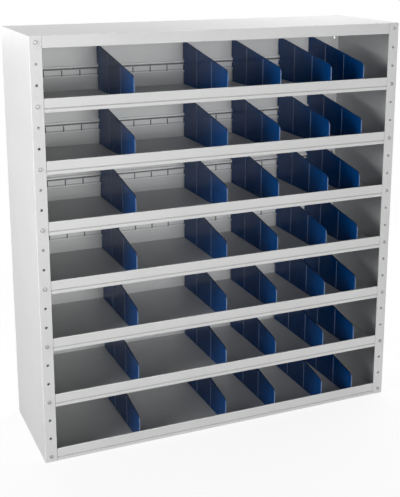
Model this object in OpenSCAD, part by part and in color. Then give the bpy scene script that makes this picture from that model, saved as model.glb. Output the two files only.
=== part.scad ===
// Compartment shelving unit: a bolted sheet-steel carcass with seven tray shelves
// and plastic dividers that plug into slotted rails on the back panel.
// Millimetres, +Z up. X runs along the width, the open front faces -Y.
// The origin is on the floor, under the middle of the unit.

/* [Carcass] */
// Overall width over the side panels
unit_w = 1008; // [708:50:1508]
// Overall depth over the flanges
unit_d = 306; // [256:10:506]
// Number of shelves, one above the other
rows = 7; // [2:1:7]
// Thickness of the steel sheet
sheet_t = 1; // [0.8:0.1:1.5]
// Width of the side panels' front and rear flanges
flange_w = 30; // [28:1:40]
// Clearance between sheets that lie side by side
fit_gap = 0.5; // [0.3:0.1:1]
// Clearance between a front lip and the flanges beside it
lip_gap = 0.8; // [0.5:0.1:2]

/* [Holes and fasteners] */
// Height from one hole to the next
hole_pitch = 50; // [40:1:60]
// Number of hole pitches from one shelf to the next
row_holes = 3; // [3:1:6]
// Distance of the hole rows from the panels' edges
hole_edge = 15; // [13:1:17]
// Diameter of the holes
hole_d = 7; // [6.5:0.1:8]
// Diameter of the screws' shanks
screw_d = 6; // [4:0.5:6]
// Diameter of the screws' heads
head_d = 10.5; // [9:0.5:12]
// Height of the screws' heads
head_h = 2.4; // [1.5:0.1:4]
// Width of the slot in a screw's head
head_slot_w = 1.4; // [0.8:0.1:2]
// Depth of the slot in a screw's head
head_slot_depth = 1; // [0.5:0.1:1.4]
// Width of the nuts across their flats
nut_flats = 10; // [8:0.5:11]
// Height of the nuts
nut_h = 5; // [3:0.5:6]
// Radial clearance of the nuts' bores on the screws
nut_bore_gap = 0.1; // [0.05:0.05:0.2]
// Length of screw that stands out of its nut
screw_end = 1; // [0.5:0.5:3]

/* [Shelves] */
// Depth of a shelf's floor below its screws
floor_drop = 12; // [10.5:0.5:13]
// Height of a shelf's front lip above its screws
lip_above = 18.5; // [12:0.5:24]
// Depth of the folded edge along the top of a lip
hem_d = 5; // [4:0.5:8]
// Depth of the folded edge's return
hem_drop = 5; // [3:0.5:8]
// Length of the return along the bottom of a lip
lip_return = 12; // [8:1:20]
// Height of the pressed line above the bottom of a lip
crease_z = 9.5; // [8:0.5:14]
// Width of the pressed line
crease_w = 1.6; // [1:0.1:3]
// Depth of the pressed line
crease_depth = 1.2; // [0.5:0.1:2]
// Height of the upstand along the back of a shelf
rear_rise = 10.5; // [6:0.5:15]
// Height of the corner tabs above the screws
tab_above = 9; // [6:0.5:12]
// Clearance between a corner tab and the edges beside it
tab_gap = 1.5; // [1:0.5:3]

/* [Top cover] */
// Height of the cover's front lip
cover_lip_h = 29; // [25:1:40]
// Height of the upward edge behind the lip's return
cover_return_rise = 6; // [4:1:10]
// Depth of the cover's rear flange and tabs below its screws
cover_tab_below = 11; // [7:0.5:14]

/* [Rails] */
// Height of a rail's bottom above its shelf's screws
rail_low = 25; // [20:1:30]
// Height of the slotted face of a rail
rail_face_h = 19; // [16:1:24]
// Depth of the slotted face in front of the back panel
rail_d = 5; // [4:0.5:8]
// Height of the bead along the top of a rail
bead_h = 10; // [6:0.5:14]
// Depth of the bead in front of the slotted face
bead_d = 4; // [2:0.5:6]
// Distance from one slit to the next
slit_pitch = 50; // [25:25:100]
// Height of the slits
slit_h = 15.5; // [12:0.5:16]
// Height of an end plate above and below its screw
end_plate_reach = 9; // [6:0.5:12]

/* [Dividers] */
// Distances of the dividers from the middle of the unit, from which each goes to the nearest slit
divider_places = [-250, 0, 150, 300, 400]; // [-450:50:450]
// Thickness of a divider
divider_t = 3; // [2:0.1:4]
// Clearance between a divider and the sides of its slit
slit_gap = 0.3; // [0.2:0.05:0.6]
// Height of a divider at its front edge, above the floor
divider_front_h = 72; // [50:1:90]
// Height of a divider at its rear edge, above the floor
divider_rear_h = 123; // [100:1:125]
// Radius of the front corner
divider_corner_r = 14; // [6:1:20]
// Distance of the front edge behind the face of the lip
divider_front_inset = 2.5; // [1:0.5:5]
// Clearance between a divider and the sheets that it stands on
seat_gap = 0.3; // [0.2:0.05:0.5]
// Clearance behind the folded edge of the lip
nose_gap = 2; // [1.5:0.5:4]
// Setback of the bottom corner behind the top of the lip, so that the front can lift out
toe_setback = 8; // [6:0.5:14]
// Clearance between a divider's rear edge and the back panel
rear_gap = 4.5; // [4.2:0.1:8]
// Clearance in front of the rail's bead, and above and below the rail
notch_gap = 3; // [2:0.5:6]
// Height of the tongue in the slit
tongue_h = 10.5; // [6:0.5:11]
// Clearance between the tongue's end and the back panel
tongue_gap = 1.5; // [1:0.25:2.5]
// Distance from one rib to the next, and from the front to the first
rib_pitch = 100; // [60:5:120]
// Number of ribs
rib_count = 2; // [1:1:2]
// Width of a rib
rib_w = 3; // [2:0.5:6]
// Height of a rib on either face
rib_h = 0.7; // [0.3:0.1:1.5]
// Distance of a rib's ends from the divider's edges
rib_end_gap = 4; // [2:0.5:10]

/* [Hidden] */
$fn = 48;
overlap = 0.01;
paint = "gainsboro";
plastic = "midnightblue";
zinc = "silver";

row_pitch = row_holes * hole_pitch;      // height from one shelf to the next
unit_h = rows * row_pitch + 2 * hole_edge;
front_y = -unit_d / 2;
back_y = unit_d / 2;
panel_y = back_y - 2 * sheet_t;          // front face of the back panel
sheet_half_w = unit_w / 2 - sheet_t - fit_gap;
lip_half_w = unit_w / 2 - flange_w - lip_gap;
hole_x = unit_w / 2 - hole_edge;
hole_levels = [for (z = [hole_edge : hole_pitch : unit_h - hole_edge]) z];
screw_levels = [for (r = [1 : rows + 1]) shelf_z(r)];
lip_h = lip_above + hole_edge;
rail_h = rail_face_h + bead_h;
rail_half_w = unit_w / 2 - flange_w;
cut_depth = 3 * sheet_t;                 // of a cut through one sheet, from a sheet's thickness before it
slit_w = divider_t + 2 * slit_gap;
slit_low = rail_low + (rail_face_h - slit_h) / 2;
slit_reach = floor((rail_half_w - slit_w) / slit_pitch);
slit_places = [for (k = [-slit_reach : slit_reach]) k * slit_pitch];
cover_z = shelf_z(rows + 1);

divider_front_y = front_y + divider_front_inset;
divider_rear_y = panel_y - rear_gap;
divider_slope = atan((divider_rear_h - divider_front_h) / (divider_rear_y - divider_front_y));

// Names and places

function divider_name(r, c) = str("divider_", r, "_", c);

// Height of the screws that hold shelf r, where shelf 1 is the lowest
function shelf_z(r) = hole_edge + (r - 1) * row_pitch;

// Height of the top of shelf r's floor
function floor_z(r) = shelf_z(r) - floor_drop;

// Height of the holes that hold the rail over shelf r
function rail_screw_z(r) = shelf_z(r) + hole_pitch * round((rail_low + rail_h) / hole_pitch);

// Middle of the slit that is nearest to x
function slit_x(x) = slit_pitch * round(x / slit_pitch);

// Height of a divider's sloped top edge at depth y
function divider_top(y) = divider_front_h + (y - divider_front_y) * tan(divider_slope);

// Folded sheet

function unit(v) = v / norm(v);

function left_of(v) = [-v[1], v[0]];

// Point i of a path, moved to the left by the sheet's thickness, with a mitre at each fold
function inner_point(path, i) =
    let (
        last = len(path) - 1,
        before = left_of(unit(path[max(i, 1)] - path[max(i, 1) - 1])),
        after = left_of(unit(path[min(i, last - 1) + 1] - path[min(i, last - 1)]))
    )
    path[i] + sheet_t * (before + after) / (1 + before * after);

// Section of a sheet whose visible side follows a path and whose thickness lies to the left of it
module sheet_section(path) {
    last = len(path) - 1;
    polygon(concat(path, [for (i = [last : -1 : 0]) inner_point(path, i)]));
}

// Runs a section drawn in depth and height along the width of the unit
module along_width(half_w) {
    translate([-half_w, 0, 0])
        rotate([90, 0, 90])
            linear_extrude(2 * half_w)
                children();
}

// Copies a piece to the left and the right of the unit
module both_sides() {
    children();
    mirror([1, 0, 0])
        children();
}

// Holes along the depth of the unit, on the right-hand side
module holes(levels) {
    for (z = levels)
        translate([hole_x, 0, z])
            rotate([90, 0, 0])
                cylinder(d = hole_d, h = 2 * unit_d, center = true);
}

// Carcass

module side_panel() {
    color(paint)
        difference() {
            linear_extrude(unit_h)
                sheet_section([
                    [unit_w / 2 - flange_w, front_y],
                    [unit_w / 2, front_y],
                    [unit_w / 2, back_y],
                    [unit_w / 2 - flange_w, back_y]
                ]);
            holes(hole_levels);
        }
}

module right_side_panel() {
    side_panel();
}

module left_side_panel() {
    mirror([1, 0, 0])
        side_panel();
}

module back_panel() {
    color(paint)
        difference() {
            translate([-sheet_half_w, panel_y, fit_gap])
                cube([2 * sheet_half_w, sheet_t, unit_h - 2 * fit_gap]);
            both_sides()
                holes(hole_levels);
        }
}

// Plate behind a flange at one corner of a shelf or the cover, from height low to height high
module corner_tab(y, low, high) {
    inner_x = unit_w / 2 - flange_w + tab_gap;
    translate([inner_x, y, low])
        cube([sheet_half_w - tab_gap - inner_x, sheet_t, high - low]);
}

module corner_tabs(low, high) {
    both_sides() {
        corner_tab(front_y + sheet_t, low, high);
        corner_tab(panel_y - sheet_t, low, high);
    }
}

// Flat sheet between the side panels, from the front flanges to the back panel, joined to the lip between them
module deck(top) {
    lip_inner_y = front_y + sheet_t;
    translate([-sheet_half_w, lip_inner_y, top - sheet_t])
        cube([2 * sheet_half_w, panel_y - lip_inner_y, sheet_t]);
    translate([-lip_half_w, lip_inner_y - overlap, top - sheet_t])
        cube([2 * lip_half_w, 2 * overlap, sheet_t]);
}

// Front lip with a folded top edge, a pressed line and a return along the bottom
module shelf_lip(r) {
    top = shelf_z(r) + lip_above;
    low = top - lip_h;
    crease_low = low + crease_z - crease_w / 2;
    crease_y = front_y + crease_depth;
    along_width(lip_half_w)
        sheet_section([
            [front_y + hem_d, top - hem_drop],
            [front_y + hem_d, top],
            [front_y, top],
            [front_y, crease_low + crease_w],
            [crease_y, crease_low + crease_w],
            [crease_y, crease_low],
            [front_y, crease_low],
            [front_y, low],
            [front_y + lip_return, low]
        ]);
}

module shelf(r) {
    color(paint)
        difference() {
            union() {
                deck(floor_z(r));
                shelf_lip(r);
                translate([-sheet_half_w, panel_y - sheet_t, floor_z(r) - overlap])
                    cube([2 * sheet_half_w, sheet_t, rear_rise + overlap]);
                corner_tabs(floor_z(r) - overlap, shelf_z(r) + tab_above);
            }
            both_sides()
                holes([shelf_z(r)]);
        }
}

module top_cover() {
    lip_low = unit_h - cover_lip_h;
    tab_low = cover_z - cover_tab_below;
    return_y = front_y + lip_return;
    color(paint)
        difference() {
            union() {
                deck(unit_h);
                along_width(lip_half_w)
                    sheet_section([
                        [front_y + lip_return, unit_h],
                        [front_y, unit_h],
                        [front_y, lip_low],
                        [return_y, lip_low],
                        [return_y, lip_low + cover_return_rise]
                    ]);
                translate([-sheet_half_w, panel_y - sheet_t, tab_low])
                    cube([2 * sheet_half_w, sheet_t, unit_h - tab_low]);
                corner_tabs(tab_low, unit_h - overlap);
            }
            both_sides()
                holes([cover_z]);
        }
}

// Rails

module rail(r) {
    low = shelf_z(r) + rail_low;
    face_y = panel_y - rail_d;
    bead_y = face_y - bead_d;
    bead_low = low + rail_face_h;
    screw_z = rail_screw_z(r);
    color(paint)
        difference() {
            union() {
                along_width(rail_half_w)
                    sheet_section([
                        [panel_y, low + rail_h],
                        [bead_y, low + rail_h],
                        [bead_y, bead_low],
                        [face_y, bead_low],
                        [face_y, low],
                        [panel_y, low]
                    ]);
                both_sides()
                    rail_end_plate(low, screw_z);
            }
            for (x = slit_places)
                translate([x - slit_w / 2, face_y - sheet_t, shelf_z(r) + slit_low])
                    cube([slit_w, cut_depth, slit_h]);
            both_sides()
                holes([screw_z]);
        }
}

// Flat end of a rail, bolted to the rear flange
module rail_end_plate(low, screw_z) {
    translate([rail_half_w - flange_w / 2, panel_y - sheet_t, low])
        cube([sheet_half_w - tab_gap - rail_half_w + flange_w / 2, sheet_t, screw_z + end_plate_reach - low]);
}

// Dividers

// Outline in depth and height over the floor, with the tongue and the notch that goes round the rail
module divider_outline() {
    lip_top = floor_drop + lip_above;
    lip_rear_y = front_y + hem_d + nose_gap;
    rail_low_z = floor_drop + rail_low;
    notch_y = panel_y - rail_d - bead_d - notch_gap;
    notch_low = rail_low_z - notch_gap;
    notch_high = rail_low_z + rail_h + notch_gap;
    heel_y = panel_y - rail_d - bead_d;
    tongue_low = rail_low_z + (rail_face_h - tongue_h) / 2;
    turn = divider_corner_r * tan((90 - divider_slope) / 2);
    union() {
        polygon([
            [lip_rear_y + toe_setback, seat_gap],
            [lip_rear_y, lip_top + seat_gap],
            [divider_front_y, lip_top + seat_gap],
            [divider_front_y, divider_front_h - turn],
            [divider_front_y + turn * cos(divider_slope), divider_front_h + turn * sin(divider_slope)],
            [divider_rear_y, divider_rear_h],
            [divider_rear_y, notch_high],
            [notch_y, notch_high],
            [notch_y, notch_low],
            [heel_y, notch_low],
            [heel_y, seat_gap]
        ]);
        translate([divider_front_y + divider_corner_r, divider_front_h - turn])
            circle(divider_corner_r);
        translate([notch_y - overlap, tongue_low])
            square([panel_y - tongue_gap - notch_y + overlap, tongue_h]);
    }
}

// Upright ribs that stand out of both faces
module divider_ribs() {
    for (k = [1 : rib_count]) {
        y = divider_front_y + k * rib_pitch;
        translate([-divider_t / 2 - rib_h, y - rib_w / 2, rib_end_gap])
            cube([divider_t + 2 * rib_h, rib_w, divider_top(y) - 2 * rib_end_gap]);
    }
}

module divider(r, c) {
    color(plastic)
        translate([slit_x(divider_places[c - 1]), 0, floor_z(r)]) {
            along_width(divider_t / 2)
                divider_outline();
            divider_ribs();
        }
}

// Fasteners

// Slotted screw whose head's underside is at the origin and whose shank points along +Y
module screw(clamped) {
    rotate([-90, 0, 0])
        difference() {
            union() {
                translate([0, 0, -head_h])
                    cylinder(d = head_d, h = head_h);
                cylinder(d = screw_d, h = clamped + nut_h + screw_end);
            }
            rotate([0, 0, 45])
                translate([0, 0, -head_h])
                    cube([2 * head_d, head_slot_w, 2 * head_slot_depth], center = true);
        }
}

module nut() {
    rotate([-90, 0, 0])
        difference() {
            cylinder(d = nut_flats / cos(30), h = nut_h, $fn = 6);
            cylinder(d = screw_d + 2 * nut_bore_gap, h = 3 * nut_h, center = true);
        }
}

// Copies a fastener to both hole rows at the given heights
module at_holes(levels) {
    color(zinc)
        both_sides()
            for (z = levels)
                translate([hole_x, 0, z])
                    children();
}

// Turns a fastener round so that it goes in from the back
module from_back() {
    rotate([0, 0, 180])
        children();
}

module front_screws() {
    at_holes(screw_levels)
        translate([0, front_y, 0])
            screw(2 * sheet_t);
}

module front_nuts() {
    at_holes(screw_levels)
        translate([0, front_y + 2 * sheet_t, 0])
            nut();
}

module rear_screws() {
    at_holes(screw_levels)
        translate([0, back_y, 0])
            from_back()
                screw(3 * sheet_t);
}

module rear_nuts() {
    at_holes(screw_levels)
        translate([0, back_y - 3 * sheet_t, 0])
            from_back()
                nut();
}

module rail_screws() {
    at_holes([for (r = [1 : rows]) rail_screw_z(r)])
        translate([0, back_y, 0])
            from_back()
                screw(3 * sheet_t);
}

module rail_nuts() {
    at_holes([for (r = [1 : rows]) rail_screw_z(r)])
        translate([0, back_y - 3 * sheet_t, 0])
            from_back()
                nut();
}

left_side_panel();
right_side_panel();
back_panel();
top_cover();
for (r = [1 : rows]) {
    shelf(r);
    rail(r);
    for (c = [1 : len(divider_places)])
        divider(r, c);
}
front_screws();
front_nuts();
rear_screws();
rear_nuts();
rail_screws();
rail_nuts();
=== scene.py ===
"""Looks of a compartment shelving unit: folded sheets, slotted rails and blue plastic dividers."""

import math

import bmesh
import bpy
from mathutils import Matrix, Vector


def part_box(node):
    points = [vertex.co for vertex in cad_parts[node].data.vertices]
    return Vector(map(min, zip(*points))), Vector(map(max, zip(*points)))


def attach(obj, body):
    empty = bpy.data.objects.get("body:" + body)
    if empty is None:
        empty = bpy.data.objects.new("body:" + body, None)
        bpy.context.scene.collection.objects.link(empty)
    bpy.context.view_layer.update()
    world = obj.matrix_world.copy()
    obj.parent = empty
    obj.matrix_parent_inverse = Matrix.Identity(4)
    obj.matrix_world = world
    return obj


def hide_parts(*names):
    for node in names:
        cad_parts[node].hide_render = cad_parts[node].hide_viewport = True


bl_info = {
    "name": "Compartment Shelving Unit",
    "version": (1, 0, 0),
    "blender": (4, 5, 0),
    "location": "View3D > Sidebar > Shelving",
    "description": "Builds the sheets, rails, dividers and screws of a shelving unit over its solids",
    "category": "Object",
}

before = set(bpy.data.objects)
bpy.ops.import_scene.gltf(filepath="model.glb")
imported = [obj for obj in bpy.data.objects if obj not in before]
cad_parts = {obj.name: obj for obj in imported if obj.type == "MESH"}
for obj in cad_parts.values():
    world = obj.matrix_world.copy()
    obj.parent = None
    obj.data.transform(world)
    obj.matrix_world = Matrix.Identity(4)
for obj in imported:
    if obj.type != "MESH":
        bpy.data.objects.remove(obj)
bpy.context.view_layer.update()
PANEL_LOW, PANEL_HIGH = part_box("right_side_panel")
BACK_LOW, BACK_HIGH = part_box("back_panel")
ROWS = sum(name.startswith("shelf_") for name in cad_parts)
DIVIDERS = sorted(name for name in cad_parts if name.startswith("divider_"))
NUTS = sorted(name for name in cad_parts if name.endswith("_nuts"))
X, Y, Z = Vector((1, 0, 0)), Vector((0, 1, 0)), Vector((0, 0, 1))
WHITE = (1.0, 1.0, 1.0, 1.0)
# Angle up to which neighbouring faces are shaded as one
SMOOTH_LIMIT = math.radians(35)
# Distance under which two places count as one
TOUCH = 1e-6
# Share of a face's normal along an axis when it looks straight, mostly, half or slightly that way
STRAIGHT, MOSTLY, HALF, SLIGHTLY = 0.9, 0.8, 0.5, 0.2
# Steps of round shapes
HOLE_SIDES, SCREW_SIDES = 16, 24
FOLD_STEPS, EDGE_STEPS, CORNER_STEPS = 4, 3, 10
BEVEL = {"offset_type": "OFFSET", "profile": 0.5, "material": -1}
# Outline of a screw head from its middle, in shares of its radius and height
HEAD_OUTLINE = ((0, 1), (0.45, 1), (0.75, 0.92), (0.93, 0.7), (1, 0.4), (1, 0))
HOLES_PER_ROW = 3
RIBS = 2
# Places of the finishes on a shelf, a rail and a divider
# On a shelf, the second finish is painted shade on the floor and the third painted shade in the lips'
# pressed line
PLAIN, FLOOR_SHADE, CREASE_SHADE = range(3)
# On a rail, the second finish is painted shade in the hollow behind the slits, in the groove and under the
# pressed line, the third a painted highlight on the bead
PAINTED, RAIL_SHADE, BEAD_HIGHLIGHT = range(3)
# On a divider, the second finish is a painted highlight on the nose and the ribs
MOULDED, HIGHLIGHT = range(2)


# Properties


def length(name, description, default):
    """A size in metres."""
    return bpy.props.FloatProperty(
        name=name, description=description, default=default, min=0, precision=5, unit="LENGTH"
    )


def number(name, description, default, low=0.0, high=100.0):
    """A plain number."""
    return bpy.props.FloatProperty(name=name, description=description, default=default, min=low, max=high)


def colour(name, description, default):
    """A colour."""
    return bpy.props.FloatVectorProperty(
        name=name, description=description, default=default, size=3, min=0, max=1, subtype="COLOR"
    )


def place(name, description, default):
    """A point in metres."""
    return bpy.props.FloatVectorProperty(
        name=name, description=description, default=default, size=3, subtype="TRANSLATION", unit="LENGTH"
    )


class CarcassSizes(bpy.types.PropertyGroup):
    """Sizes of the folded sheets and of their holes"""

    sheet_t: length("Sheet", "Thickness of the sheet", BACK_HIGH.y - BACK_LOW.y)
    fold_r: length("Fold", "Radius of a fold", 0.0013)
    fit_gap: length("Fit", "Clearance of the sheets between the side panels", 0.0005)
    lip_gap: length("Lip gap", "Clearance of a lip between the flanges", 0.0008)
    tab_gap: length("Tab gap", "Clearance of a corner tab", 0.0015)
    hole_d: length("Hole", "Diameter of the holes", 0.007)
    hole_edge: length("Hole edge", "Distance of the holes from the edges", 0.015)
    hole_pitch: length("Hole pitch", "Height from hole to hole", 0.05)


class ShelfSizes(bpy.types.PropertyGroup):
    """Sizes of the tray shelves and of the cover"""

    floor_drop: length("Floor", "Depth of the floor below the screws", 0.012)
    hem: length("Hem", "Depth and return of the folded edge of a lip", 0.005)
    lip_return: length("Return", "Length of the return under a lip", 0.012)
    crease_z: length("Crease height", "Height of the pressed line above the bottom of a lip", 0.0095)
    crease_w: length("Crease width", "Width of the pressed line", 0.0034)
    crease_depth: length("Crease depth", "Depth of the pressed line", 0.0012)
    rear_rise: length("Upstand", "Height of the upstand at the back", 0.0105)
    tab_above: length("Tab", "Height of the corner tabs above the screws", 0.009)
    cover_rise: length("Cover return", "Height of the upward edge behind the cover's lip", 0.006)
    cover_tab: length("Cover tab", "Depth of the cover's rear flange below its screws", 0.011)


class RailSizes(bpy.types.PropertyGroup):
    """Sizes of the slotted rails"""

    face_h: length("Face", "Height of the slotted face", 0.019)
    bead_h: length("Bead", "Height of the bead", 0.01)
    bead_d: length("Bead depth", "Depth of the bead in front of the face", 0.004)
    bead_r: length("Bead radius", "Radius of the edges of the bead", 0.0023)
    groove_h: length("Groove", "Height of the groove under the bead", 0.005)
    groove_d: length("Groove depth", "Depth of the groove behind the face", 0.003)
    line_drop: length("Line", "Depth of the pressed line below the top of the face", 0.0145)
    line_w: length("Line width", "Width of the pressed line", 0.0026)
    # A dark sheet behind the slits: painted shade in the rail's hollow
    shade_sheet_gap: length("Lining", "Gap between the lining behind the slits and the back", 0.0003)
    shade_sheet_t: length("Lining thickness", "Thickness of the lining behind the slits", 0.0005)
    slit_pitch: length("Slit pitch", "Distance from slit to slit", 0.05)
    slit_w: length("Slit width", "Width of the slits", 0.0036)
    slit_low: length("Slit", "Height of the bottom of the slits above the bottom of the rail", 0.00175)
    plate_reach: length("End plate", "Height of an end plate above its screw", 0.009)


class DividerSizes(bpy.types.PropertyGroup):
    """Sizes of the plastic dividers"""

    thickness: length("Thickness", "Thickness of the plate", 0.003)
    front_h: length("Front height", "Height of the front edge above the floor", 0.072)
    corner_r: length("Corner", "Radius of the front corner", 0.014)
    small_r: length("Small corner", "Radius of the other corners", 0.0012)
    edge_r: length("Edge", "Radius along the edges", 0.0006)
    seat_gap: length("Seat", "Clearance over the floor and the lip", 0.0003)
    lip_top: length("Lip", "Height of the lip over the floor", 0.0305)
    nose_d: length("Nose", "Depth of the nose on the lip", 0.0045)
    toe_d: length("Toe", "Setback of the bottom corner behind the nose", 0.008)
    notch_low: length("Notch bottom", "Height of the bottom of the notch", 0.034)
    notch_h: length("Notch", "Height of the notch", 0.035)
    notch_d: length("Notch depth", "Distance of the notch from the end of the tongue", 0.0105)
    heel_d: length("Heel", "Distance of the heel from the end of the tongue", 0.0075)
    rear_d: length("Rear", "Distance of the rear edge from the end of the tongue", 0.003)
    tongue_low: length("Tongue bottom", "Height of the bottom of the tongue", 0.04125)
    tongue_h: length("Tongue", "Height of the tongue", 0.0105)
    rib_pitch: length("Rib pitch", "Distance from the front to the first rib and on to the next", 0.1)
    rib_w: length("Rib", "Width of a rib", 0.003)
    rib_h: length("Rib height", "Height of a rib on either face", 0.0007)
    rib_gap: length("Rib ends", "Distance of a rib's ends from the edges", 0.004)


class ScrewSizes(bpy.types.PropertyGroup):
    """Sizes of the slotted screws"""

    head_d: length("Head", "Diameter of the head", 0.0105)
    head_h: length("Head height", "Height of the head", 0.0024)
    slot_w: length("Slot", "Width of the slot", 0.0014)
    slot_d: length("Slot depth", "Depth of the slot", 0.001)
    shank_d: length("Shank", "Diameter of the shank", 0.006)


class Finishes(bpy.types.PropertyGroup):
    """Colours and gloss of the surfaces"""

    paint: colour("Paint", "Light grey powder coat", (0.70, 0.705, 0.70))
    paint_worn: colour("Worn paint", "Paint that is rubbed thin along the folds", (0.86, 0.865, 0.86))
    # Darker paint on the shelf floors: painted shade, where little light reaches the floors
    floor_shade_paint: colour("Floor paint", "Coat of the shelf floors, dulled by use", (0.58, 0.58, 0.575))
    # Darker paint in the lips' pressed line: painted shade in the crease
    crease_shade_paint: colour("Crease paint", "Dirty coat in the lips' pressed line", (0.52, 0.52, 0.515))
    rail_paint: colour("Rail paint", "Lighter powder coat of the rails", (0.84, 0.845, 0.84))
    # Rubbed rail paint along the folds, and the brighter coat of the bead, which is a painted highlight
    rail_worn_and_bead_highlight: colour("Worn rail paint", "Brighter coat of the rails' bead", (0.97, 0.97, 0.965))
    paint_gloss: number("Paint roughness", "Roughness of the powder coat", 0.42, 0, 1)
    plastic: colour("Plastic", "Dark blue plastic", (0.002, 0.058, 0.225))
    # Pale blue for a painted highlight on the ribs and the noses
    plastic_highlight: colour("Rubbed plastic", "Ribs and noses, rubbed pale", (0.16, 0.24, 0.42))
    # Dark blue for painted shade along the edges of the plastic
    plastic_edge_shade: colour("Plastic edge", "Edges of the plastic, which look darker", (0.001, 0.012, 0.045))
    plastic_gloss: number("Plastic roughness", "Roughness of the plastic", 0.07, 0, 1)
    zinc: colour("Zinc", "Plating of the screws and nuts", (0.34, 0.343, 0.347))
    # Dark grey metal for painted shade inside the rails, in the groove and under the pressed line
    rail_shade_steel: colour("Bare steel", "Steel inside the rails, without paint", (0.25, 0.25, 0.252))
    zinc_gloss: number("Zinc roughness", "Roughness of the plating", 0.5, 0, 1)


class StageSettings(bpy.types.PropertyGroup):
    """Camera, lamps and floor"""

    eye: place("Camera", "Place of the camera", (-0.995, -2.302, 1.278))
    turn: number("Turn", "Turn of the camera to the right, in degrees", 23.109, -180, 180)
    tilt: number("Tilt", "Tilt of the camera downwards, in degrees", 13.218, -90, 90)
    lens: number("Lens", "Focal length in millimetres", 68.479, 1, 500)
    shift: number("Shift", "Upward shift of the lens", -0.16, -1, 1)
    target: place("Target", "Point that the lamps face", (0.0, 0.0, 0.6))
    sky: number("Sky", "Light from all round", 0.12)
    low_power: number("Low front", "Power of the low lamp in front, in watts", 47.0, 0, 1000)
    low_place: place("Low front place", "Place of the low lamp in front", (0.2, -4.0, 0.6))
    high_power: number("High front", "Power of the high lamp in front, in watts", 26.0, 0, 1000)
    high_place: place("High front place", "Place of the high lamp in front", (-0.5, -3.5, 1.3))
    left_power: number("Left", "Power of the lamp at the left, in watts", 33.0, 0, 1000)
    left_place: place("Left place", "Place of the lamp at the left", (-2.2, -0.6, 1.3))
    rear_power: number("Rear", "Power of the lamp above the rear right corner, in watts", 25.0, 0, 1000)
    rear_place: place("Rear place", "Place of the lamp above the rear right corner", (0.9, 0.7, 2.4))
    right_power: number("Right", "Power of the lamp at the right, in watts", 26.0, 0, 1000)
    right_place: place("Right place", "Place of the lamp at the right", (2.6, 0.6, 1.1))
    back_power: number("Back", "Power of the lamp behind, in watts", 40.0, 0, 1000)
    back_place: place("Back place", "Place of the lamp behind", (-0.6, 3.2, 1.3))
    lamp_size: length("Lamps", "Width and height of the lamps", 1.0)
    floor_size: length("Floor", "Width of the floor", 40.0)
    floor_gap: length("Floor gap", "Depth of the floor below the unit", 0.0005)
    floor_bounce: colour("Floor bounce", "Shade in which the floor lights the unit", (0.45, 0.45, 0.45))
    floor_glow: number("Floor white", "Share of the floor that is white and takes no shadow", 0.85, 0, 1)
    floor_near: length("Floor near", "Distance at which the floor starts to fade into white", 0.9)
    floor_far: length("Floor far", "Distance at which the floor is white", 3.0)


# Sheet work


def new_piece():
    """An empty piece with a layer for wear and for painted edge shade."""
    bm = bmesh.new()
    bm.verts.layers.float.new("wear_and_edge_shade")
    return bm


def verts_of(geometry):
    """The vertices among what an operator returns."""
    return [part for part in geometry if isinstance(part, bmesh.types.BMVert)]


def strip(points, along, low, high):
    """A sheet that follows points across one axis and runs along it from low to high."""
    bm = new_piece()
    if along == X:
        start = [bm.verts.new((low, *point)) for point in points]
    else:
        start = [bm.verts.new((*point, low)) for point in points]
    edges = [bm.edges.new(pair) for pair in zip(start, start[1:])]
    out = bmesh.ops.extrude_edge_only(bm, edges=edges)["geom"]
    bmesh.ops.translate(bm, verts=verts_of(out), vec=along * (high - low))
    return bm


def split(bm, place, normal):
    """Cuts every face along a plane."""
    everything = bm.verts[:] + bm.edges[:] + bm.faces[:]
    bmesh.ops.bisect_plane(bm, geom=everything, dist=TOUCH, plane_co=place, plane_no=normal)


def cut(bm, along, places):
    """Cuts every face across one axis at these places."""
    for at in places:
        split(bm, along * at, along)


def mark_worn(bm, faces, verts):
    """Marks the middle of a rounded edge, where the finish rubs off first."""
    wear_and_edge_shade = bm.verts.layers.float["wear_and_edge_shade"]
    faces = set(faces)
    for vert in verts:
        if all(face in faces for face in vert.link_faces):
            vert[wear_and_edge_shade] = 1.0


def round_edges(bm, edges, radius, segments=FOLD_STEPS):
    """Rounds edges and marks them as worn."""
    options = {"affect": "EDGES", "segments": segments, "clamp_overlap": True, **BEVEL}
    out = bmesh.ops.bevel(bm, geom=edges, offset=radius, **options)
    mark_worn(bm, out["faces"], out["verts"])


def round_folds(bm, along, points, radius):
    """Rounds the folds that run along one axis through these points."""

    def at(vert, point):
        flat = [c for c, a in zip(vert.co, along) if a == 0]
        return max(abs(c - p) for c, p in zip(flat, point)) < TOUCH

    edges = [e for e in bm.edges if any(at(e.verts[0], p) and at(e.verts[1], p) for p in points)]
    round_edges(bm, edges, radius)


def face_at(bm, point):
    """The face that holds a point."""
    for face in bm.faces:
        in_plane = abs((point - face.verts[0].co).dot(face.normal)) < TOUCH
        if in_plane and bmesh.geometry.intersect_face_point(face, point):
            return face
    raise ValueError(f"no face at {point}")


def punch(bm, centres, diameter):
    """Makes round holes in the faces that hold these points and look to the front or the back."""
    bm.normal_update()
    cells = [face_at(bm, centre) for centre in centres]
    edges = list({edge for cell in cells for edge in cell.edges})
    bmesh.ops.bisect_edges(bm, edges=edges, cuts=HOLE_SIDES // 4 - 1)
    bmesh.ops.inset_individual(bm, faces=cells, thickness=TOUCH)
    for centre, cell in zip(centres, cells):
        ring = list(cell.verts)
        corner = max(range(len(ring)), key=lambda k: ring[k].co.x + ring[k].co.z)
        step = math.copysign(2 * math.pi / len(ring), -cell.normal.y)
        for k in range(len(ring)):
            angle = math.pi / 4 + (k - corner) * step
            ring[k].co = centre + Vector((math.cos(angle), 0, math.sin(angle))) * (diameter / 2)
    bmesh.ops.delete(bm, geom=cells, context="FACES_ONLY")


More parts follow.
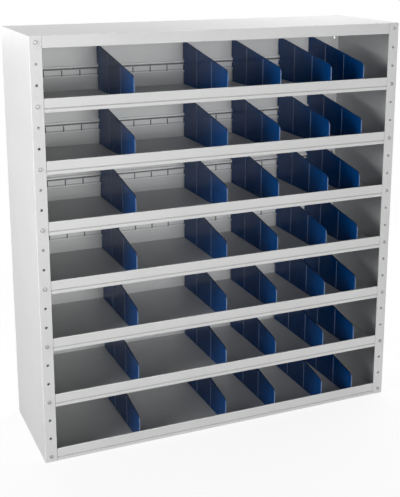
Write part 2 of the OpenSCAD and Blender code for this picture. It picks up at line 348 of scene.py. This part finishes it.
def plate(y, x_low, x_high, z_low, z_high):
    """An upright plate across the depth."""
    return strip([(x_low, y), (x_high, y)], Z, z_low, z_high)


def thicken(bm, outwards, thickness):
    """Turns the widest face outwards and gives the sheet its thickness on the other side."""
    bmesh.ops.recalc_face_normals(bm, faces=bm.faces)
    widest = max(bm.faces, key=lambda face: face.calc_area())
    if widest.normal.dot(outwards) < 0:
        bmesh.ops.reverse_faces(bm, faces=bm.faces)
    bmesh.ops.solidify(bm, geom=bm.faces[:], thickness=thickness)
    bmesh.ops.recalc_face_normals(bm, faces=bm.faces)
    return bm


def join(target, part, finish=None):
    """Adds a part to a piece, in one of its finishes or as it is, and frees it."""
    for face in part.faces:
        face.material_index = face.material_index if finish is None else finish
    mesh = bpy.data.meshes.new("part")
    part.to_mesh(mesh)
    part.free()
    target.from_mesh(mesh)
    bpy.data.meshes.remove(mesh)


def finish_piece(name, bm, materials, node, body):
    """Makes an object of a piece, which stands for one CAD node and rides on its body."""
    for face in bm.faces:
        face.smooth = True
    for edge in bm.edges:
        edge.smooth = edge.calc_face_angle(math.pi) < SMOOTH_LIMIT
    mesh = bpy.data.meshes.new(name)
    bm.to_mesh(mesh)
    bm.free()
    for coat in materials:
        mesh.materials.append(coat)
    piece = bpy.data.objects.new(name, mesh)
    bpy.context.scene.collection.objects.link(piece)
    normals = piece.modifiers.new("Flat faces first", "WEIGHTED_NORMAL")
    normals.keep_sharp = True
    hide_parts(node)
    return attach(piece, body)


def hole_levels(c):
    """Heights of the holes in a side panel."""
    count = round((PANEL_HIGH.z - 2 * c.hole_edge) / c.hole_pitch)
    return [c.hole_edge + k * c.hole_pitch for k in range(count + 1)]


def between(levels):
    """Heights half-way between the holes."""
    return [(a + b) / 2 for a, b in zip(levels, levels[1:])]


def hole_x(c):
    """Distance of the hole rows from the middle of the unit."""
    return PANEL_HIGH.x - c.hole_edge


def sheet_half(c):
    """Half the width of the sheets between the side panels."""
    return PANEL_HIGH.x - c.sheet_t - c.fit_gap


def lip_half(c):
    """Half the width of the lips between the flanges."""
    return PANEL_LOW.x - c.lip_gap


def corner_tabs(piece, c, y, level, z_low, z_high, outwards):
    """Adds the left and right tab that are bolted to the flanges."""
    inner, outer = PANEL_LOW.x + c.tab_gap, sheet_half(c) - c.tab_gap
    for side in (-1, 1):
        tab = plate(y, *sorted((side * inner, side * outer)), z_low, z_high)
        punch(tab, [Vector((side * hole_x(c), y, level))], c.hole_d)
        join(piece, thicken(tab, outwards, c.sheet_t))


# Materials


class Wire:
    """A socket that takes part in Python expressions."""

    def __init__(self, finish, socket):
        self.finish, self.socket = finish, socket

    def maths(self, operation, first, second):
        return self.finish.node("ShaderNodeMath", {"operation": operation}, {0: first, 1: second}).out()

    def __add__(self, other):
        return self.maths("ADD", self, other)

    def __radd__(self, other):
        return self.maths("ADD", other, self)

    def __sub__(self, other):
        return self.maths("SUBTRACT", self, other)

    def __rsub__(self, other):
        return self.maths("SUBTRACT", other, self)

    def __mul__(self, other):
        return self.maths("MULTIPLY", self, other)

    def __rmul__(self, other):
        return self.maths("MULTIPLY", other, self)

    def most(self, other):
        return self.maths("MAXIMUM", self, other)


class Made:
    """A node whose outputs are read as wires."""

    def __init__(self, finish, node):
        self.finish, self.node = finish, node

    def out(self, name=0):
        return Wire(self.finish, self.node.outputs[name])


class Finish:
    """A material that is being wired."""

    # Sockets of a Mix node that mixes colours
    MIX_SHARE, MIX_FIRST, MIX_SECOND, MIX_RESULT = 0, 6, 7, 2

    def __init__(self, name, tree=None):
        if tree is None:
            self.material = bpy.data.materials.new(name)
            self.material.use_nodes = True
            tree = self.material.node_tree
        self.tree = tree
        self.tree.nodes.clear()

    def node(self, kind, settings=None, sockets=None):
        """Adds a node, sets its settings and then the values or links of its sockets."""
        made = self.tree.nodes.new(kind)
        for name, value in (settings or {}).items():
            setattr(made, name, value)
        for name, value in (sockets or {}).items():
            if isinstance(value, Wire):
                self.tree.links.new(value.socket, made.inputs[name])
            else:
                made.inputs[name].default_value = value
        return Made(self, made)

    def object_point(self, stretch=(1, 1, 1)):
        """Object coordinates, stretched."""
        point = self.node("ShaderNodeTexCoord").out("Object")
        sockets = {"Vector": point, "Scale": stretch}
        return self.node("ShaderNodeMapping", {"vector_type": "POINT"}, sockets).out()

    def noise(self, point, scale, detail, rough=0.5):
        """Smooth noise from 0 to 1."""
        sockets = {"Vector": point, "Scale": scale, "Detail": detail, "Roughness": rough}
        return self.node("ShaderNodeTexNoise", None, sockets).out("Fac")

    def ramp(self, value, low, high):
        """Goes from 0 to 1 between low and high."""
        sockets = {"Value": value, "From Min": low, "From Max": high}
        return self.node("ShaderNodeMapRange", {"interpolation_type": "SMOOTHSTEP"}, sockets).out()

    def mix(self, share, first, second):
        """Mixes two colours."""
        sockets = {self.MIX_SHARE: share, self.MIX_FIRST: first, self.MIX_SECOND: second}
        return self.node("ShaderNodeMix", {"data_type": "RGBA"}, sockets).out(self.MIX_RESULT)

    def wear_and_edge_shade(self):
        """How far a rounded edge is rubbed, and on a divider where it gets painted edge shade."""
        return self.node("ShaderNodeAttribute", {"attribute_name": "wear_and_edge_shade"}).out("Fac")

    def bump(self, height, strength):
        """A normal from small heights in metres."""
        sockets = {"Height": height, "Strength": strength, "Distance": 1.0}
        return self.node("ShaderNodeBump", None, sockets).out()

    def surface(self, sockets):
        """Ends the material in a principled surface."""
        shader = self.node("ShaderNodeBsdfPrincipled", None, sockets).out()
        self.node("ShaderNodeOutputMaterial", None, {"Surface": shader})
        return self.material


def shade(rgb, factor=1.0):
    """A colour with alpha, made lighter or darker."""
    return (*(channel * factor for channel in rgb), 1.0)


def powder_coat(name, base, worn, roughness, dull):
    """Powder coat with orange peel, faint clouds, rubbed folds and dulled patches."""
    f = Finish(name)
    point = f.object_point()
    clouds = f.noise(point, scale=5.0, detail=3.0)
    speckle = f.noise(point, scale=700.0, detail=1.0)
    peel = f.noise(point, scale=420.0, detail=2.0, rough=0.4)
    waves = f.noise(point, scale=9.0, detail=1.0)
    patches = f.noise(point, scale=60.0, detail=3.0)
    streaks = f.noise(f.object_point(stretch=(1.0, 6.0, 1.0)), scale=26.0, detail=4.0, rough=0.6)
    scuffs = f.ramp(streaks, low=0.58, high=0.72)
    tone = f.mix(f.ramp(clouds, low=0.3, high=0.7), shade(base, 0.965), shade(base, 1.02))
    tone = f.mix(f.ramp(speckle, low=0.35, high=0.75) * 0.35, tone, shade(base, 0.93))
    tone = f.mix(scuffs * dull, tone, shade(base, 0.78))
    tone = f.mix(f.wear_and_edge_shade() * f.ramp(patches, low=0.3, high=0.5) * 0.9, tone, shade(worn))
    sockets = {
        "Base Color": tone,
        "Roughness": roughness + clouds * 0.08 - 0.04 + scuffs * 0.12,
        "Normal": f.bump(peel * 0.00006 + waves * 0.0009, strength=0.35),
        "Specular IOR Level": 0.3,
    }
    return f.surface(sockets)


def moulded_plastic(name, base, s):
    """Glossy moulded plastic with faint flow lines, fine scratches and painted shade along the edges."""
    f = Finish(name)
    point = f.object_point()
    flow = f.noise(f.object_point(stretch=(1.0, 30.0, 4.0)), scale=8.0, detail=3.0)
    streaks = f.noise(f.object_point(stretch=(1.0, 220.0, 6.0)), scale=6.0, detail=4.0, rough=0.7)
    scratches = f.ramp(streaks, low=0.62, high=0.75)
    grain = f.noise(point, scale=800.0, detail=1.0)
    patches = f.noise(point, scale=90.0, detail=3.0)
    tone = f.mix(f.ramp(flow, low=0.3, high=0.7), shade(base, 0.88), shade(base, 1.1))
    # Painted shade along the edges, where the edge layer is set
    edge_shade = f.wear_and_edge_shade() * (1.0 - f.ramp(patches, low=0.55, high=0.75) * 0.4)
    tone = f.mix(edge_shade, tone, shade(s.plastic_edge_shade))
    sockets = {
        "Base Color": tone,
        "Roughness": s.plastic_gloss + flow * 0.06 - 0.03 + scratches * 0.12,
        "Normal": f.bump(grain * 0.00003 + flow * 0.0002, strength=0.3),
        "Specular IOR Level": 0.18,
    }
    return f.surface(sockets)


def metal(name, base, roughness):
    """Plated or bare metal with spangle and dull patches."""
    f = Finish(name)
    point = f.object_point()
    spangle = f.noise(point, scale=900.0, detail=2.0)
    patches = f.noise(point, scale=120.0, detail=2.0)
    sockets = {
        "Base Color": f.mix(f.ramp(patches, low=0.3, high=0.7), shade(base, 0.82), shade(base, 1.08)),
        "Metallic": 0.85,
        "Roughness": roughness + patches * 0.16 - 0.08,
        "Normal": f.bump(spangle * 0.00004, strength=0.4),
    }
    return f.surface(sockets)


def material(name):
    """A finish of the unit, made when it is first asked for."""
    found = bpy.data.materials.get(name)
    if found:
        return found
    s = bpy.context.scene.shelving_finishes
    if name == "powder_coat":
        return powder_coat(name, s.paint, s.paint_worn, s.paint_gloss, dull=0.06)
    # The floors' coat, darker for painted shade
    if name == "floor_shade_coat":
        return powder_coat(name, s.floor_shade_paint, s.paint_worn, s.paint_gloss + 0.06, dull=0.25)
    # The lips' crease coat, darker for painted shade
    if name == "crease_shade_coat":
        return powder_coat(name, s.crease_shade_paint, s.paint, s.paint_gloss + 0.06, dull=0.25)
    if name == "rail_coat":
        return powder_coat(name, s.rail_paint, s.rail_worn_and_bead_highlight, s.paint_gloss - 0.12, dull=0.03)
    # The bead's brighter, glossier coat: a painted highlight
    if name == "bead_highlight_coat":
        return powder_coat(name, s.rail_worn_and_bead_highlight, s.rail_worn_and_bead_highlight, s.paint_gloss - 0.2, dull=0.02)
    if name == "moulded_plastic":
        return moulded_plastic(name, s.plastic, s)
    # The pale plastic of the ribs and noses: a painted highlight
    if name == "highlight_plastic":
        return moulded_plastic(name, s.plastic_highlight, s)
    if name == "zinc_plating":
        return metal(name, s.zinc, s.zinc_gloss)
    # Dark metal for painted shade in the rails
    if name == "rail_shade_steel":
        return metal(name, s.rail_shade_steel, s.zinc_gloss + 0.2)
    raise KeyError(name)


# Pieces


class SHELVING_OT_side_panels(bpy.types.Operator):
    """Fold the two side panels and punch their flanges"""

    bl_idname = "shelving.side_panels"
    bl_label = "Side Panels"

    def execute(self, context):
        c = context.scene.shelving_carcass
        front, back = PANEL_LOW.y, PANEL_HIGH.y
        levels = hole_levels(c)
        for side, node in ((-1, "left_side_panel"), (1, "right_side_panel")):
            tip, web = side * PANEL_LOW.x, side * PANEL_HIGH.x
            folds = [(web, front), (web, back)]
            sheet = strip([(tip, front), *folds, (tip, back)], Z, 0.0, PANEL_HIGH.z)
            cut(sheet, Z, between(levels))
            round_folds(sheet, Z, folds, c.fold_r)
            holes = [Vector((side * hole_x(c), y, z)) for z in levels for y in (front, back)]
            punch(sheet, holes, c.hole_d)
            thicken(sheet, X * side, c.sheet_t)
            finish_piece(node + "_sheet", sheet, [material("powder_coat")], node, "carcass")
        return {"FINISHED"}


class SHELVING_OT_back_panel(bpy.types.Operator):
    """Cut the back panel and punch it behind the flanges"""

    bl_idname = "shelving.back_panel"
    bl_label = "Back Panel"

    def execute(self, context):
        c = context.scene.shelving_carcass
        sheet = plate(BACK_HIGH.y, BACK_LOW.x, BACK_HIGH.x, BACK_LOW.z, BACK_HIGH.z)
        levels = hole_levels(c)
        cut(sheet, Z, between(levels))
        cut(sheet, X, (-PANEL_LOW.x, PANEL_LOW.x))
        holes = [Vector((side * hole_x(c), BACK_HIGH.y, z)) for z in levels for side in (-1, 1)]
        punch(sheet, holes, c.hole_d)
        thicken(sheet, Y, c.sheet_t)
        finish_piece("back_panel_sheet", sheet, [material("powder_coat")], "back_panel", "carcass")
        return {"FINISHED"}


class SHELVING_OT_top_cover(bpy.types.Operator):
    """Fold the top cover with its front lip and bolted tabs"""

    bl_idname = "shelving.top_cover"
    bl_label = "Top Cover"

    def execute(self, context):
        c, s = context.scene.shelving_carcass, context.scene.shelving_shelf
        low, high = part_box("top_cover")
        front, back, top = low.y, high.y, high.z
        level = top - c.hole_edge
        tab_low = level - s.cover_tab
        inner, outer = lip_half(c), sheet_half(c)
        piece = new_piece()
        folds = [(back, top), (front, top), (front, low.z), (front + s.lip_return, low.z)]
        edge = (front + s.lip_return, low.z + s.cover_rise)
        sheet = strip([(back, tab_low), *folds, edge], X, -inner, inner)
        round_folds(sheet, X, folds, c.fold_r)
        join(piece, thicken(sheet, Z, c.sheet_t))
        for side in (-1, 1):
            across = sorted((side * inner, side * outer))
            ear = strip([(back - c.sheet_t, top), (front + c.sheet_t, top)], X, *across)
            join(piece, thicken(ear, Z, c.sheet_t))
        corner_tabs(piece, c, front + c.sheet_t, level, tab_low, top - c.sheet_t, -Y)
        corner_tabs(piece, c, back, level, tab_low, top - c.sheet_t, Y)
        finish_piece("top_cover_sheet", piece, [material("powder_coat")], "top_cover", "carcass")
        return {"FINISHED"}


class SHELVING_OT_shelves(bpy.types.Operator):
    """Fold the tray shelves with their lips, upstands and bolted tabs"""

    bl_idname = "shelving.shelves"
    bl_label = "Shelves"

    def execute(self, context):
        c, s = context.scene.shelving_carcass, context.scene.shelving_shelf
        for r in range(1, ROWS + 1):
            low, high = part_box(f"shelf_{r}")
            front, back = low.y, high.y - c.sheet_t
            level = low.z + c.hole_edge
            floor = level - s.floor_drop
            hem_y, crease, half = front + s.hem, low.z + s.crease_z, s.crease_w / 2
            piece = new_piece()
            folds = [(hem_y, high.z), (front, high.z), (front, low.z)]
            groove = [(front, crease + half), (front + s.crease_depth, crease), (front, crease - half)]
            points = [(hem_y, high.z - s.hem), *folds[:2], *groove, folds[2], (front + s.lip_return, low.z)]
            lip = strip(points, X, -lip_half(c), lip_half(c))
            round_folds(lip, X, folds, c.fold_r)
            thicken(lip, -Y, c.sheet_t)
            # The faces of the pressed line get the darker coat: painted shade in the crease
            for panel in lip.faces:
                height = panel.calc_center_median().z
                in_crease = panel.normal.y < -SLIGHTLY and abs(height - crease) < half
                panel.material_index = CREASE_SHADE if in_crease else PLAIN
            join(piece, lip)
            tray = strip([(front + c.sheet_t, floor), (back, floor)], X, -sheet_half(c), sheet_half(c))
            # The floor in the darker coat: painted shade
            join(piece, thicken(tray, Z, c.sheet_t), FLOOR_SHADE)
            tab_x = PANEL_LOW.x + c.tab_gap
            rise = plate(back, -tab_x, tab_x, floor - c.sheet_t, floor + s.rear_rise)
            join(piece, thicken(rise, -Y, c.sheet_t))
            corner_tabs(piece, c, front + c.sheet_t, level, floor - c.sheet_t, level + s.tab_above, -Y)
            corner_tabs(piece, c, back, level, floor - c.sheet_t, level + s.tab_above, -Y)
            coats = [material("powder_coat"), material("floor_shade_coat"), material("crease_shade_coat")]
            finish_piece(f"shelf_{r}_tray", piece, coats, f"shelf_{r}", "carcass")
        return {"FINISHED"}


class SHELVING_OT_rails(bpy.types.Operator):
    """Fold the rails, cut their slits and add their end plates"""

    bl_idname = "shelving.rails"
    bl_label = "Rails"

    def execute(self, context):
        c, s = context.scene.shelving_carcass, context.scene.shelving_rail
        coats = [material("rail_coat"), material("rail_shade_steel"), material("bead_highlight_coat")]
        for r in range(1, ROWS + 1):
            low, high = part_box(f"rail_{r}")
            half, back = PANEL_LOW.x, high.y
            piece = new_piece()
            join(piece, self.fold(c, s, low, back, half))
            # A dark sheet behind the slits: painted shade in the rail's hollow
            shade_sheet_top = low.z + s.face_h + s.groove_h
            shade_sheet_y = back - s.shade_sheet_gap - s.shade_sheet_t
            shade_sheet = plate(shade_sheet_y, -half, half, low.z + 2 * c.sheet_t, shade_sheet_top)
            join(piece, thicken(shade_sheet, -Y, s.shade_sheet_t), RAIL_SHADE)
            level = high.z - s.plate_reach
            for side in (-1, 1):
                ends = sorted((side * half, side * high.x))
                end = plate(back - c.sheet_t, *ends, low.z, high.z)
                punch(end, [Vector((side * hole_x(c), back - c.sheet_t, level))], c.hole_d)
                join(piece, thicken(end, -Y, c.sheet_t))
            finish_piece(f"rail_{r}_sheet", piece, coats, f"rail_{r}", "carcass")
        return {"FINISHED"}

    def fold(self, c, s, low, back, half):
        """The folded sheet of one rail, slit, with painted shade in its groove and its pressed line and a
        painted highlight on its bead.
        """
        bead, face = low.y, low.y + s.bead_d
        groove = face + s.groove_d
        strip_top, top = low.z + s.face_h, low.z + s.face_h + s.bead_h
        bead_low, line, line_half = strip_top + s.groove_h, strip_top - s.line_drop, s.line_w / 2
        roll = [(bead, top), (bead, bead_low)]
        folds = [(face, strip_top), (face, low.z)]
        hollow = [(groove, bead_low), (groove, strip_top)]
        pressed = [(face, line + line_half), (face + line_half, line), (face, line - line_half)]
        points = [(back, top), *roll, *hollow, folds[0], *pressed, folds[1], (back, low.z)]
        sheet = strip(points, X, -half, half)
        round_folds(sheet, X, roll, s.bead_r)
        round_folds(sheet, X, folds, c.fold_r / 2)
        self.slit(s, sheet, half, groove, low.z + s.slit_low, strip_top)
        thicken(sheet, -Y, c.sheet_t)
        # The groove's back and the underside of the pressed line get the dark finish: painted shade
        for panel in sheet.faces:
            at, normal = panel.calc_center_median(), panel.normal
            in_groove = normal.y < -STRAIGHT and abs(at.y - groove) < TOUCH
            looks_down = normal.y < -HALF and normal.z < -HALF
            in_line = looks_down and line < at.z < line + line_half
            panel.material_index = RAIL_SHADE if in_groove or in_line else PAINTED
            # The bead gets the brighter coat: a painted highlight
            if at.z > bead_low + TOUCH:
                panel.material_index = BEAD_HIGHLIGHT
        return sheet

    def slit(self, s, sheet, half, groove, slit_low, slit_top):
        """Cuts the row of slits out of the face."""
        count = math.floor((half - s.slit_w) / s.slit_pitch)
        middles = [k * s.slit_pitch for k in range(-count, count + 1)]
        cut(sheet, X, [x + side * s.slit_w / 2 for x in middles for side in (-1, 1)])
        cut(sheet, Z, [slit_low])
        slits = []
        for panel in sheet.faces:
            at = panel.calc_center_median()
            in_face = at.y < groove - TOUCH and slit_low < at.z < slit_top + TOUCH
            if in_face and min(abs(at.x - x) for x in middles) < s.slit_w / 2:
                slits.append(panel)
        bmesh.ops.delete(sheet, geom=slits, context="FACES")


class SHELVING_OT_dividers(bpy.types.Operator):
    """Mould the dividers with their noses, ribs, notches and tongues"""

    bl_idname = "shelving.dividers"
    bl_label = "Dividers"

    def execute(self, context):
        for node in DIVIDERS:
            low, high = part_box(node)
            piece = self.mould(context.scene.shelving_divider, low, high)
            plastics = [material("moulded_plastic"), material("highlight_plastic")]
            finish_piece(node + "_plate", piece, plastics, node, node)
        return {"FINISHED"}

    def mould(self, s, low, high):
        """One divider in the place of its solid."""
        middle, floor, tip = (low.x + high.x) / 2, low.z - s.seat_gap, high.y
        nose, rear, notch = low.y, tip - s.rear_d, tip - s.notch_d
        outline = [
            (nose + s.nose_d + s.toe_d, s.seat_gap),
            (nose + s.nose_d, s.lip_top + s.seat_gap),
            (nose, s.lip_top + s.seat_gap),
            (nose, s.front_h),
            (rear, high.z - floor),
            (rear, s.notch_low + s.notch_h),
            (notch, s.notch_low + s.notch_h),
            (notch, s.tongue_low + s.tongue_h),
            (tip, s.tongue_low + s.tongue_h),
            (tip, s.tongue_low),
            (notch, s.tongue_low),
            (notch, s.notch_low),
            (tip - s.heel_d, s.notch_low),
            (tip - s.heel_d, s.seat_gap),
        ]
        piece = new_piece()
        side = middle - s.thickness / 2
        corners = [piece.verts.new((side, y, floor + z)) for y, z in outline]
        piece.faces.new(corners)
        slope = math.atan2(high.z - floor - s.front_h, rear - nose)
        turn = s.corner_r * math.tan((math.pi / 2 - slope) / 2)
        front = corners[outline.index((nose, s.front_h))]
        others = [corner for corner in corners if corner is not front]
        options = {"affect": "VERTICES", **BEVEL}
        bmesh.ops.bevel(piece, geom=[front], offset=turn, segments=CORNER_STEPS, **options)
        bmesh.ops.bevel(piece, geom=others, offset=s.small_r, segments=EDGE_STEPS, **options)
        out = bmesh.ops.extrude_face_region(piece, geom=piece.faces[:])["geom"]
        bmesh.ops.translate(piece, verts=verts_of(out), vec=X * s.thickness)
        bmesh.ops.recalc_face_normals(piece, faces=piece.faces)
        rims = [e for e in piece.edges if any(abs(f.normal.x) > STRAIGHT for f in e.link_faces)]
        round_edges(piece, rims, s.edge_r, EDGE_STEPS)
        self.mark_edges(piece)
        for k in range(1, RIBS + 1):
            y = nose + k * s.rib_pitch
            edge = floor + s.front_h + (y - nose) * math.tan(slope)
            # The ribs get the pale plastic: a painted highlight
            join(piece, self.rib(s, middle, y, floor + s.rib_gap, edge - s.rib_gap), HIGHLIGHT)
        return piece

    def mark_edges(self, piece):
        """Puts painted shade on the edges of a divider and a painted highlight on its nose."""
        piece.normal_update()
        wear_and_edge_shade = piece.verts.layers.float["wear_and_edge_shade"]
        # Top, bottom and rear edges get painted shade
        for vert in piece.verts:
            on_edge = [abs(f.normal.x) < HALF and f.normal.y > -MOSTLY for f in vert.link_faces]
            vert[wear_and_edge_shade] = float(any(on_edge))
        # Faces that look to the front get the pale plastic: a painted highlight on the nose
        for face in piece.faces:
            face.material_index = HIGHLIGHT if face.normal.y < -MOSTLY else MOULDED

    def rib(self, s, x, y, bottom, top):
        """One rib, which shows on both faces of a divider and gets no painted edge shade."""
        rib = new_piece()
        size = Matrix.Diagonal((s.thickness + 2 * s.rib_h, s.rib_w, top - bottom, 1))
        at = Matrix.Translation((x, y, (bottom + top) / 2))
        bmesh.ops.create_cube(rib, size=1, matrix=at @ size)
        round_edges(rib, rib.edges[:], s.edge_r, EDGE_STEPS)
        wear_and_edge_shade = rib.verts.layers.float["wear_and_edge_shade"]
        for vert in rib.verts:
            vert[wear_and_edge_shade] = 0.0
        return rib


class SHELVING_OT_screws(bpy.types.Operator):
    """Turn the slotted screws and set them in their holes"""

    bl_idname = "shelving.screws"
    bl_label = "Screws"

    def execute(self, context):
        c, s = context.scene.shelving_carcass, context.scene.shelving_screw
        for node, from_front in (("front_screws", True), ("rear_screws", False), ("rail_screws", False)):
            low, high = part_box(node)
            step = HOLES_PER_ROW * c.hole_pitch
            radius = s.head_d / 2
            count = round((high.z - low.z - 2 * radius) / step)
            half_turn = Matrix.Rotation(0 if from_front else math.pi, 4, "Z")
            seat = low.y + s.head_h if from_front else high.y - s.head_h
            piece = new_piece()
            for k in range(count + 1):
                for side in (-1, 1):
                    screw = self.turn(s, high.y - low.y - s.head_h)
                    at = Matrix.Translation((side * hole_x(c), seat, low.z + radius + k * step))
                    bmesh.ops.transform(screw, matrix=at @ half_turn, verts=screw.verts)
                    join(piece, screw)
            finish_piece(node + "_slotted", piece, [material("zinc_plating")], node, "carcass")
        return {"FINISHED"}

    def turn(self, s, shank):
        """One screw along +Y, with the underside of its head at the origin."""
        screw = new_piece()
        points = [(s.head_d / 2 * x, -s.head_h * y) for x, y in HEAD_OUTLINE]
        points += [(s.shank_d / 2, 0), (s.shank_d / 2, shank), (0, shank)]
        verts = [screw.verts.new((x, y, 0)) for x, y in points]
        edges = [screw.edges.new(pair) for pair in zip(verts, verts[1:])]
        full_turn = {"axis": Y, "angle": 2 * math.pi, "steps": SCREW_SIDES, "use_merge": True}
        bmesh.ops.spin(screw, geom=verts + edges, cent=(0, 0, 0), **full_turn)
        bmesh.ops.remove_doubles(screw, verts=screw.verts, dist=TOUCH)
        self.slot(s, screw)
        bmesh.ops.recalc_face_normals(screw, faces=screw.faces)
        return screw

    def slot(self, s, screw):
        """Cuts the slot across the head."""
        bottom = s.slot_d - s.head_h
        across = Vector((1, 0, 1)).normalized()
        for at, normal in (
            (across * s.slot_w / 2, across),
            (across * -s.slot_w / 2, across),
            (Y * bottom, Y),
        ):
            split(screw, at, normal)
        gone = []
        for face in screw.faces:
            at = face.calc_center_median()
            if at.y < bottom - TOUCH and abs(at.dot(across)) < s.slot_w / 2:
                gone.append(face)
        bmesh.ops.delete(screw, geom=gone, context="FACES")
        rim = [edge for edge in screw.edges if edge.is_boundary]
        out = bmesh.ops.extrude_edge_only(screw, edges=rim)["geom"]
        for vert in verts_of(out):
            vert.co.y = bottom
        bmesh.ops.remove_doubles(screw, verts=screw.verts, dist=TOUCH)
        open_edges = [edge for edge in screw.edges if edge.is_boundary]
        bmesh.ops.holes_fill(screw, edges=open_edges, sides=0)


class SHELVING_OT_nuts(bpy.types.Operator):
    """Plate the nuts, whose solids are shown as they are"""

    bl_idname = "shelving.nuts"
    bl_label = "Nuts"

    def execute(self, context):
        for name in NUTS:
            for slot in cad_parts[name].material_slots:
                slot.material = material("zinc_plating")
        return {"FINISHED"}


class SHELVING_OT_stage(bpy.types.Operator):
    """Set up the floor, the lamps and the camera"""

    bl_idname = "shelving.stage"
    bl_label = "Stage"

    def execute(self, context):
        scene, s = context.scene, context.scene.shelving_stage
        self.floor(s)
        self.sky(scene, s)
        self.lamp("low_front_lamp", s, s.low_power, s.low_place)
        self.lamp("high_front_lamp", s, s.high_power, s.high_place)
        self.lamp("left_lamp", s, s.left_power, s.left_place)
        self.lamp("rear_lamp", s, s.rear_power, s.rear_place)
        self.lamp("right_lamp", s, s.right_power, s.right_place)
        self.lamp("back_lamp", s, s.back_power, s.back_place)
        camera = bpy.data.objects.new("camera", bpy.data.cameras.new("camera"))
        camera.location = s.eye
        camera.rotation_euler = (math.radians(90 - s.tilt), 0, math.radians(-s.turn))
        camera.data.lens, camera.data.shift_y = s.lens, s.shift
        scene.collection.objects.link(camera)
        scene.camera = camera
        scene.view_settings.view_transform = "Standard"
        return {"FINISHED"}

    def floor(self, s):
        """A pale floor that shows as white and keeps a soft shadow."""
        bm = bmesh.new()
        bmesh.ops.create_grid(bm, x_segments=1, y_segments=1, size=s.floor_size / 2)
        mesh = bpy.data.meshes.new("floor")
        bm.to_mesh(mesh)
        bm.free()
        floor = bpy.data.objects.new("floor", mesh)
        floor.location.z = -s.floor_gap
        bpy.context.scene.collection.objects.link(floor)
        f = Finish("pale_floor")
        seen = self.seen(f)
        tone = f.mix(seen, shade(s.floor_bounce), WHITE)
        pale = f.node("ShaderNodeBsdfDiffuse", None, {"Color": tone}).out()
        glow = f.node("ShaderNodeEmission", None, {"Color": WHITE, "Strength": 1.0}).out()
        measure = f.node("ShaderNodeVectorMath", {"operation": "LENGTH"}, {0: f.object_point()})
        away = measure.out("Value")
        share = s.floor_glow + f.ramp(away, s.floor_near, s.floor_far) * (1.0 - s.floor_glow)
        mixed = f.node("ShaderNodeMixShader", None, {0: seen * share, 1: pale, 2: glow}).out()
        f.node("ShaderNodeOutputMaterial", None, {"Surface": mixed})
        mesh.materials.append(f.material)

    def seen(self, f):
        """1 for what the camera sees, also in gloss and through glass."""
        path = f.node("ShaderNodeLightPath")
        both = path.out("Is Camera Ray").most(path.out("Is Glossy Ray"))
        return both.most(path.out("Is Transmission Ray"))

    def sky(self, scene, s):
        """White to the camera, and a plain level of light from all round."""
        scene.world = bpy.data.worlds.new("sky")
        scene.world.use_nodes = True
        f = Finish("sky", scene.world.node_tree)
        sockets = {"Value": self.seen(f), "To Min": s.sky, "To Max": 1.0}
        level = f.node("ShaderNodeMapRange", None, sockets).out()
        light = f.node("ShaderNodeBackground", None, {"Color": WHITE, "Strength": level}).out()
        f.node("ShaderNodeOutputWorld", None, {"Surface": light})

    def lamp(self, name, s, power, at):
        """A square soft lamp that faces the target."""
        data = bpy.data.lights.new(name, "AREA")
        data.energy, data.size = power, s.lamp_size
        lamp = bpy.data.objects.new(name, data)
        lamp.location = at
        lamp.rotation_euler = (Vector(s.target) - Vector(at)).to_track_quat("-Z", "Y").to_euler()
        bpy.context.scene.collection.objects.link(lamp)


class SHELVING_PT_panel(bpy.types.Panel):
    """Lists the steps and the sizes of the shelving unit"""

    bl_label = "Shelving"
    bl_idname = "SHELVING_PT_panel"
    bl_space_type = "VIEW_3D"
    bl_region_type = "UI"
    bl_category = "Shelving"

    def draw(self, context):
        for step in STEPS:
            self.layout.operator(step.bl_idname)
        for name, group in GROUPS.items():
            box = self.layout.box()
            box.label(text=group.__doc__)
            for key in group.__annotations__:
                box.prop(getattr(context.scene, name), key)


GROUPS = {
    "shelving_carcass": CarcassSizes,
    "shelving_shelf": ShelfSizes,
    "shelving_rail": RailSizes,
    "shelving_divider": DividerSizes,
    "shelving_screw": ScrewSizes,
    "shelving_finishes": Finishes,
    "shelving_stage": StageSettings,
}
STEPS = (
    SHELVING_OT_side_panels,
    SHELVING_OT_back_panel,
    SHELVING_OT_top_cover,
    SHELVING_OT_shelves,
    SHELVING_OT_rails,
    SHELVING_OT_dividers,
    SHELVING_OT_screws,
    SHELVING_OT_nuts,
    SHELVING_OT_stage,
)


def register():
    for name, group in GROUPS.items():
        bpy.utils.register_class(group)
        setattr(bpy.types.Scene, name, bpy.props.PointerProperty(type=group))
    for step in STEPS:
        bpy.utils.register_class(step)
    bpy.utils.register_class(SHELVING_PT_panel)


def unregister():
    bpy.utils.unregister_class(SHELVING_PT_panel)
    for step in reversed(STEPS):
        bpy.utils.unregister_class(step)
    for name, group in reversed(GROUPS.items()):
        delattr(bpy.types.Scene, name)
        bpy.utils.unregister_class(group)


def main():
    register()
    bpy.ops.shelving.side_panels()
    bpy.ops.shelving.back_panel()
    bpy.ops.shelving.top_cover()
    bpy.ops.shelving.shelves()
    bpy.ops.shelving.rails()
    bpy.ops.shelving.dividers()
    bpy.ops.shelving.screws()
    bpy.ops.shelving.nuts()
    bpy.ops.shelving.stage()


if __name__ == "__main__":
    main()
